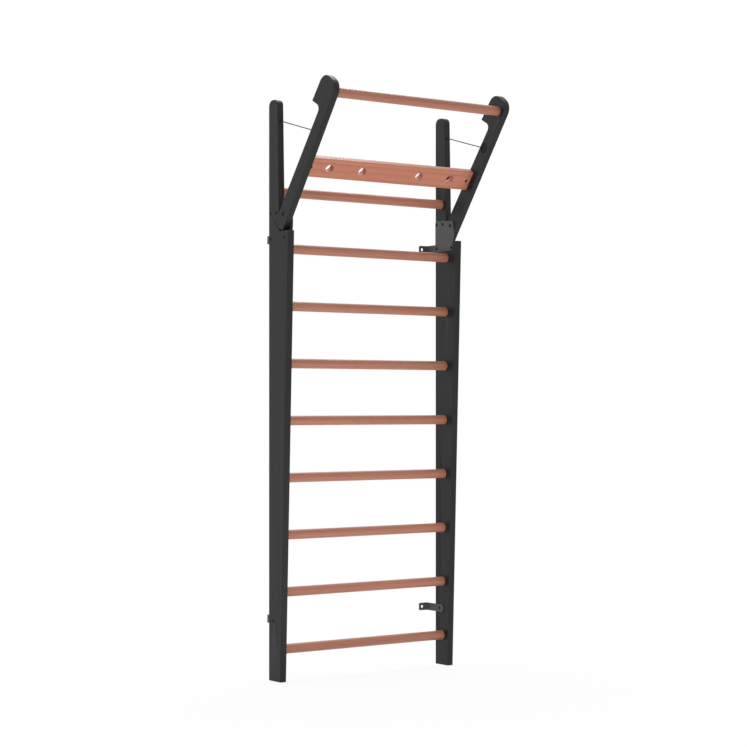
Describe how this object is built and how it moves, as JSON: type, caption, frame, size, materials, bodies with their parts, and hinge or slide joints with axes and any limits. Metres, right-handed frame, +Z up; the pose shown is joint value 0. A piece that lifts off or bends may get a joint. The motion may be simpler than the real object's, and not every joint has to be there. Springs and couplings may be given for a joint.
{
  "type": "swedish wall bars",
  "caption": "Wall-mounted gym ladder of round wooden rungs between tapered uprights, with a fold-out, cable-stayed frame that carries a pull-up bar and a drilled cross board.",
  "frame": {"origin": "on the wall plane, at floor level, midway between the uprights", "axes": "+X to the right as seen from the room, +Y into the wall, +Z up along the ladder"},
  "size_m": [0.766, 0.4506, 2.075],
  "materials": {
    "black_wood": "black stain under a satin lacquer",
    "cherry_wood": "reddish stain under a satin lacquer",
    "grey_steel": "satin grey powder coat",
    "black_steel": "black oxide, satin",
    "bright_steel": "zinc plated, satin",
    "bronze": "turned, satin"
  },
  "bodies": {
    "ladder": {"left_upright": "black_wood", "right_upright": "black_wood", "rung_1": "cherry_wood", "rung_2": "cherry_wood", "rung_3": "cherry_wood", "rung_4": "cherry_wood", "rung_5": "cherry_wood", "rung_6": "cherry_wood", "rung_7": "cherry_wood", "rung_8": "cherry_wood", "rung_9": "cherry_wood", "left_hinge_plate": "grey_steel", "right_hinge_plate": "grey_steel", "left_pivot_bolt": "black_steel", "right_pivot_bolt": "black_steel", "left_plate_screw_1": "black_steel", "left_plate_screw_2": "black_steel", "left_plate_screw_3": "black_steel", "left_plate_screw_4": "black_steel", "right_plate_screw_1": "black_steel", "right_plate_screw_2": "black_steel", "right_plate_screw_3": "black_steel", "right_plate_screw_4": "black_steel", "left_wall_bracket": "grey_steel", "right_wall_bracket": "grey_steel", "left_bracket_screw": "black_steel", "right_bracket_screw": "black_steel", "left_plate_nut_1": "black_steel", "left_plate_nut_2": "black_steel", "left_plate_nut_3": "black_steel", "left_plate_nut_4": "black_steel", "left_bracket_nut": "black_steel", "left_pivot_nut": "black_steel", "right_plate_nut_1": "black_steel", "right_plate_nut_2": "black_steel", "right_plate_nut_3": "black_steel", "right_plate_nut_4": "black_steel", "right_bracket_nut": "black_steel", "right_pivot_nut": "black_steel", "left_stay_cable": "bright_steel", "right_stay_cable": "bright_steel", "left_post_cable_stop": "bright_steel", "right_post_cable_stop": "bright_steel"},
    "pull_up_frame": {"pull_up_bar": "cherry_wood", "cross_board": "cherry_wood", "left_arm": "black_wood", "right_arm": "black_wood", "left_pivot_bush": "bronze", "right_pivot_bush": "bronze", "left_arm_cable_stop": "black_steel", "right_arm_cable_stop": "black_steel", "left_cross_nut": "black_steel", "right_cross_nut": "black_steel", "left_arm_stud": "bright_steel", "right_arm_stud": "bright_steel"}
  },
  "joints": [
    {"name": "pull_up_fold", "type": "hinge", "parent": "ladder", "child": "pull_up_frame", "pos_m": [0, -0.143, 1.628], "axis": [-1, 0, 0], "range_deg": [0, 38], "deforming": ["left_stay_cable", "right_stay_cable"]}
  ]
}
